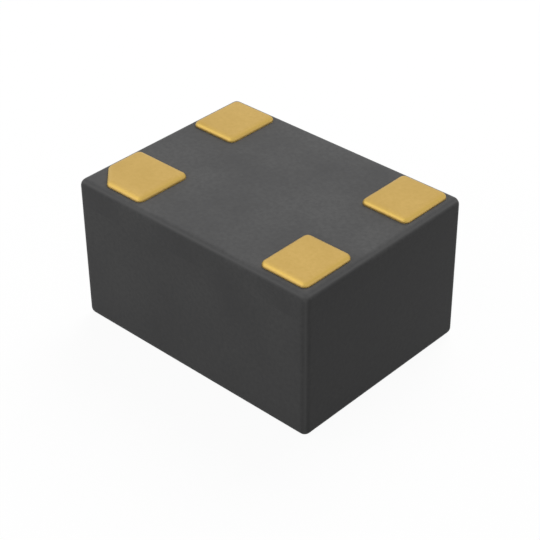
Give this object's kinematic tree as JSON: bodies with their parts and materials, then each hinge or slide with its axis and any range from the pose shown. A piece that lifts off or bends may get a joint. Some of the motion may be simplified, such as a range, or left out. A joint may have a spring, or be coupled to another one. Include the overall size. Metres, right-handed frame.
{
  "type": "mems oscillator",
  "caption": "Surface-mount silicon-resonator clock oscillator: a charcoal moulded land-grid block with gold solder pads at its corners, lying pads up.",
  "frame": {"origin": "middle of the flat marking face, which the part lies on", "axes": "+X along the long sides, from the terminal 1 and 2 end to the terminal 3 and 4 end; +Y along the short sides, from terminal 1 to terminal 2; +Z out of the solder pads"},
  "size_m": [0.0016, 0.0012, 0.0009],
  "materials": {
    "mould_epoxy": "matte",
    "laminate_resin": "matte",
    "pad_gold": "satin",
    "via_copper": "satin",
    "inner_copper": "satin",
    "mask_resin": "satin",
    "attach_film": "satin",
    "silicon": "polished",
    "device_silicon": "satin",
    "feedthrough_silicon": "satin",
    "oxide": "gloss",
    "pad_aluminium": "satin",
    "seal_metal": "satin",
    "wire_gold": "polished"
  },
  "bodies": {
    "root": {"bond_wire_1": "wire_gold", "bond_wire_2": "wire_gold", "bond_wire_3": "wire_gold", "bond_wire_4": "wire_gold", "drive_electrode": "device_silicon", "ic_attach_film": "attach_film", "ic_bond_pads": "pad_aluminium", "inner_trace_1": "inner_copper", "inner_trace_2": "inner_copper", "inner_trace_3": "inner_copper", "inner_trace_4": "inner_copper", "laminate_core": "laminate_resin", "mould_compound": "mould_epoxy", "oscillator_ic": "silicon", "pad_1_standby": "pad_gold", "pad_2_ground": "pad_gold", "pad_3_output": "pad_gold", "pad_4_supply": "pad_gold", "resonator_attach_film": "attach_film", "resonator_base": "silicon", "resonator_bond_pads": "pad_aluminium", "resonator_cap": "silicon", "resonator_disc": "device_silicon", "resonator_feedthroughs": "feedthrough_silicon", "resonator_frame": "device_silicon", "resonator_oxide": "oxide", "resonator_wire_bias": "wire_gold", "resonator_wire_drive": "wire_gold", "resonator_wire_sense": "wire_gold", "seal_ring": "seal_metal", "sense_electrode": "device_silicon", "solder_mask": "mask_resin", "via_1": "via_copper", "via_2": "via_copper", "via_3": "via_copper", "via_4": "via_copper"}
  },
  "joints": []
}
